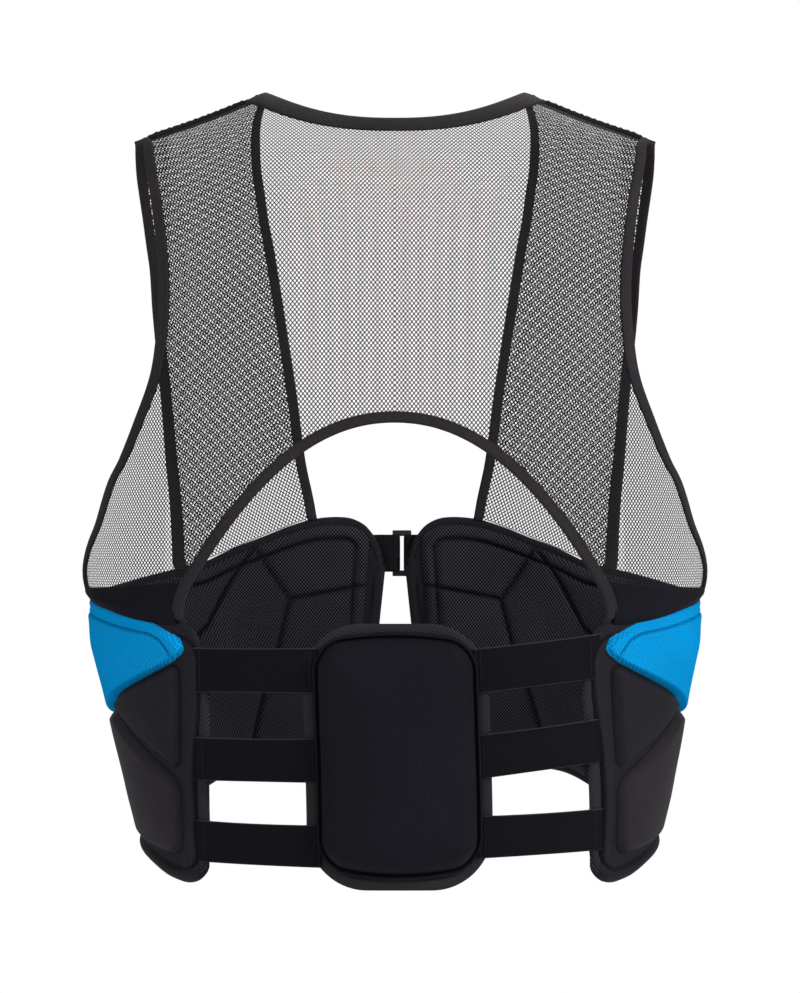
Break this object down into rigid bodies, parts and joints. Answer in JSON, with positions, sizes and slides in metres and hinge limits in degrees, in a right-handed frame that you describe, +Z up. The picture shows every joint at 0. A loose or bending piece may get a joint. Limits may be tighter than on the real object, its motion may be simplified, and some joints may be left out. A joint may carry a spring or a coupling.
{
  "type": "rib protector",
  "caption": "Wrap-round rib protector vest: open mesh yoke with an arched back, padded side shells joined by elastic straps to a domed spine pad, and a webbing closure in front.",
  "frame": {"origin": "midway between the two shoulder seams, where the vest sits on the wearer", "axes": "+Z up, -Y out of the wearer's back, +X to the wearer's right"},
  "size_m": [0.398, 0.2788, 0.4952],
  "materials": {
    "mesh": "open knitted net, black, matt",
    "binding": "folded stretch tape, soft black",
    "stretch": "plain stretch knit, black",
    "shell": "smooth laminated foam cover, black, slight sheen",
    "pad_black": "smooth laminated foam cover, black, slight sheen",
    "pad_blue": "air mesh knit over foam, bright blue",
    "lining": "spacer mesh knit with sewn channels, black",
    "elastic": "woven elastic, black, fine ribs",
    "webbing": "woven webbing, black",
    "plastic": "moulded plastic, black, satin"
  },
  "bodies": {
    "root": {"back_mesh": "mesh", "neck_binding": "binding", "arch_binding": "binding", "back_pad_rim": "shell", "back_pad": "pad_black", "front_mesh_left": "mesh", "shoulder_seam_left": "binding", "armhole_binding_left": "binding", "gusset_left": "stretch", "side_shell_left": "shell", "lining_left": "lining", "upper_pad_left": "pad_blue", "triangle_pad_left": "pad_black", "lower_pad_left": "pad_black", "front_pad_left": "pad_black", "strap_left_1": "elastic", "strap_left_2": "elastic", "strap_left_3": "elastic", "front_mesh_right": "mesh", "shoulder_seam_right": "binding", "armhole_binding_right": "binding", "gusset_right": "stretch", "side_shell_right": "shell", "lining_right": "lining", "upper_pad_right": "pad_blue", "triangle_pad_right": "pad_black", "lower_pad_right": "pad_black", "front_pad_right": "pad_black", "strap_right_1": "elastic", "strap_right_2": "elastic", "strap_right_3": "elastic", "closure_web": "webbing", "closure_tab": "webbing", "closure_ring": "plastic"}
  },
  "joints": []
}
